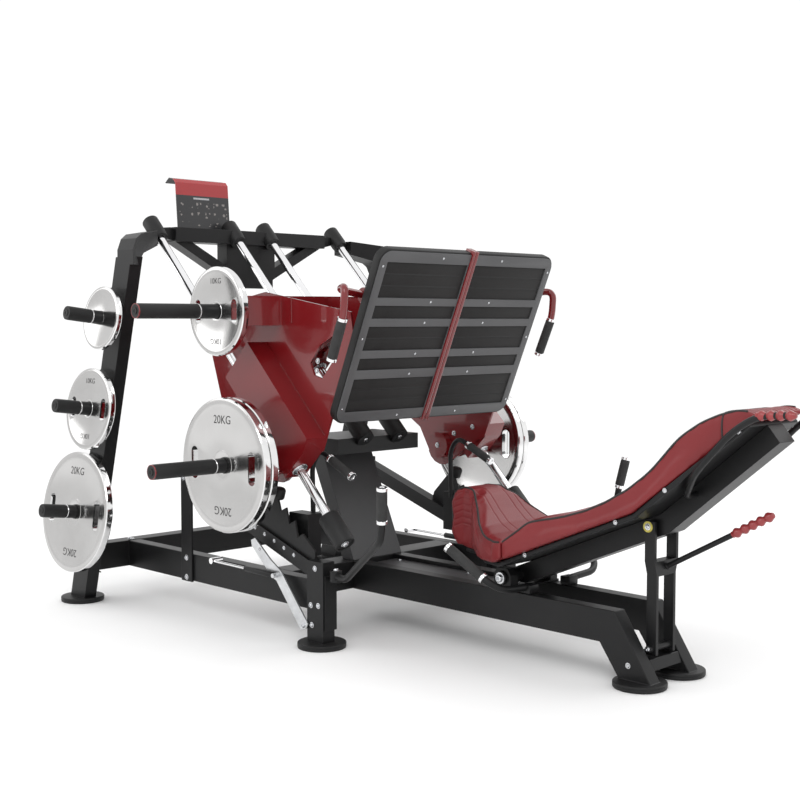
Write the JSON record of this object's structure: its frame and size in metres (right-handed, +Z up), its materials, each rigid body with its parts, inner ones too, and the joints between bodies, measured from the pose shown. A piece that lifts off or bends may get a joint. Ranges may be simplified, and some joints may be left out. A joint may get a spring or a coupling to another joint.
{
  "type": "leg press machine",
  "caption": "Plate-loaded incline leg press: paired footplate carriages on sloping guide rods, reclining padded seat, weight plates on horns.",
  "frame": {"origin": "middle of the footprint's bounding box, on the floor", "axes": "+X towards the head of the seat, +Y towards the user's right, +Z up"},
  "size_m": [2.8542, 1.862, 1.625],
  "materials": {
    "black_powder": "satin",
    "red_gloss": "gloss",
    "chrome": "polished",
    "plate_steel": "satin",
    "zinc": "satin",
    "rubber": "matte",
    "vinyl": "satin",
    "grey": "satin"
  },
  "bodies": {
    "frame": {"rear_crossbar": "black_powder", "mid_crossbar": "black_powder", "deck_plate": "grey", "front_tie": "black_powder", "front_panel": "grey", "rod_bar_low": "black_powder", "top_beam": "black_powder", "placard": "grey", "seat_bracket": "black_powder", "rear_rail_l": "black_powder", "rear_rail_r": "black_powder", "upright_l": "black_powder", "upright_r": "black_powder", "center_post_l": "black_powder", "center_post_r": "black_powder", "front_rail_l": "black_powder", "front_rail_r": "black_powder", "rod_outer_l": "chrome", "rod_outer_r": "chrome", "rod_inner_l": "chrome", "rod_inner_r": "chrome", "strut_outer_l": "black_powder", "strut_outer_r": "black_powder", "sloping_beam_l": "black_powder", "sloping_beam_r": "black_powder", "seat_grip_l": "black_powder", "seat_grip_r": "black_powder"},
    "carriage_l": {"carriage_frame_l": "red_gloss", "footplate_l": "rubber", "side_handle_l": "red_gloss"},
    "plates_low_l": {"plate_low_a_l": "plate_steel", "plate_low_b_l": "plate_steel"},
    "plates_up_l": {"plate_up_l": "plate_steel"},
    "safety_handle_body_l": {"safety_handle_l": "black_powder"},
    "stop_lever_body_l": {"stop_lever_l": "zinc"},
    "gas_cylinder_body_l": {"gas_cylinder_l": "black_powder"},
    "gas_rod_body_l": {"gas_rod_l": "chrome"},
    "release_handle_body_l": {"release_handle_l": "black_powder"},
    "carriage_r": {"carriage_frame_r": "red_gloss", "footplate_r": "rubber", "side_handle_r": "red_gloss"},
    "plates_low_r": {"plate_low_a_r": "plate_steel", "plate_low_b_r": "plate_steel"},
    "plates_up_r": {"plate_up_r": "plate_steel"},
    "safety_handle_body_r": {"safety_handle_r": "black_powder"},
    "stop_lever_body_r": {"stop_lever_r": "zinc"},
    "gas_cylinder_body_r": {"gas_cylinder_r": "black_powder"},
    "gas_rod_body_r": {"gas_rod_r": "chrome"},
    "release_handle_body_r": {"release_handle_r": "black_powder"},
    "store_body_20": {"store_20": "plate_steel"},
    "store_body_10": {"store_10": "plate_steel"},
    "store_body_5": {"store_5": "plate_steel"},
    "seat": {"seat_beam": "black_powder", "seat_board": "black_powder", "seat_cushion": "vinyl", "back_cushion": "vinyl", "head_handle_l": "black_powder", "head_handle_r": "black_powder"},
    "link": {"recline_link": "black_powder", "recline_lever": "black_powder"}
  },
  "joints": [
    {"name": "carriage_slide_l", "type": "slide", "parent": "frame", "child": "carriage_l", "axis": [-0.7071, 0, 0.7071], "range_m": [0, 0.42]},
    {"name": "plates_low_slide_l", "type": "slide", "parent": "carriage_l", "child": "plates_low_l", "axis": [0, -1, 0], "range_m": [0, 0.26]},
    {"name": "plate_up_slide_l", "type": "slide", "parent": "carriage_l", "child": "plates_up_l", "axis": [0, -1, 0], "range_m": [0, 0.3]},
    {"name": "safety_handle_swing_l", "type": "hinge", "parent": "frame", "child": "safety_handle_body_l", "pos_m": [-0.0417, -0.452, 0.243], "axis": [0, 0, -1], "range_deg": [0, 40]},
    {"name": "stop_lever_lift_l", "type": "hinge", "parent": "frame", "child": "stop_lever_body_l", "pos_m": [-0.1637, -0.4845, 0.066], "axis": [0, 1, 0], "range_deg": [0, 10]},
    {"name": "gas_cylinder_pivot_l", "type": "hinge", "parent": "stop_lever_body_l", "child": "gas_cylinder_body_l", "pos_m": [-0.2987, -0.499, 0.216], "axis": [0, 1, 0], "range_deg": [-14.5, 0.5]},
    {"name": "gas_rod_pivot_l", "type": "hinge", "parent": "frame", "child": "gas_rod_body_l", "pos_m": [-0.6437, -0.499, 0.2207], "axis": [0, 1, 0], "range_deg": [-4.5, 0.5]},
    {"name": "release_handle_pull_l", "type": "hinge", "parent": "frame", "child": "release_handle_body_l", "pos_m": [-0.2787, -0.344, 0.4], "axis": [0, 1, 0], "range_deg": [-25, 0]},
    {"name": "carriage_slide_r", "type": "slide", "parent": "frame", "child": "carriage_r", "axis": [-0.7071, 0, 0.7071], "range_m": [0, 0.42]},
    {"name": "plates_low_slide_r", "type": "slide", "parent": "carriage_r", "child": "plates_low_r", "axis": [0, 1, 0], "range_m": [0, 0.26]},
    {"name": "plate_up_slide_r", "type": "slide", "parent": "carriage_r", "child": "plates_up_r", "axis": [0, 1, 0], "range_m": [0, 0.3]},
    {"name": "safety_handle_swing_r", "type": "hinge", "parent": "frame", "child": "safety_handle_body_r", "pos_m": [-0.0417, 0.452, 0.243], "axis": [0, 0, 1], "range_deg": [0, 40]},
    {"name": "stop_lever_lift_r", "type": "hinge", "parent": "frame", "child": "stop_lever_body_r", "pos_m": [-0.1637, 0.4845, 0.066], "axis": [0, 1, 0], "range_deg": [0, 10]},
    {"name": "gas_cylinder_pivot_r", "type": "hinge", "parent": "stop_lever_body_r", "child": "gas_cylinder_body_r", "pos_m": [-0.2987, 0.499, 0.216], "axis": [0, 1, 0], "range_deg": [-14.5, 0.5]},
    {"name": "gas_rod_pivot_r", "type": "hinge", "parent": "frame", "child": "gas_rod_body_r", "pos_m": [-0.6437, 0.499, 0.2207], "axis": [0, 1, 0], "range_deg": [-4.5, 0.5]},
    {"name": "release_handle_pull_r", "type": "hinge", "parent": "frame", "child": "release_handle_body_r", "pos_m": [-0.2787, 0.344, 0.4], "axis": [0, 1, 0], "range_deg": [-25, 0]},
    {"name": "store_slide_20", "type": "slide", "parent": "frame", "child": "store_body_20", "axis": [0, -0.9918, 0.128], "range_m": [0, 0.12]},
    {"name": "store_slide_10", "type": "slide", "parent": "frame", "child": "store_body_10", "axis": [0, -0.9918, 0.128], "range_m": [0, 0.12]},
    {"name": "store_slide_5", "type": "slide", "parent": "frame", "child": "store_body_5", "axis": [0, -0.9918, 0.128], "range_m": [0, 0.12]},
    {"name": "seat_recline", "type": "hinge", "parent": "frame", "child": "seat", "pos_m": [0.3813, 0, 0.252], "axis": [0, -1, 0], "range_deg": [0, 7]},
    {"name": "recline_link_pivot", "type": "hinge", "parent": "seat", "child": "link", "pos_m": [0.8933, 0, 0.452], "axis": [0, -1, 0], "range_deg": [-7.5, 0.5]}
  ],
  "couplings": [
    {"joint": "gas_cylinder_pivot_l", "follows": "stop_lever_lift_l", "ratio": -1.345},
    {"joint": "gas_rod_pivot_l", "follows": "stop_lever_lift_l", "ratio": -0.345},
    {"joint": "gas_cylinder_pivot_r", "follows": "stop_lever_lift_r", "ratio": -1.345},
    {"joint": "gas_rod_pivot_r", "follows": "stop_lever_lift_r", "ratio": -0.345},
    {"joint": "recline_link_pivot", "follows": "seat_recline", "ratio": -1}
  ]
}
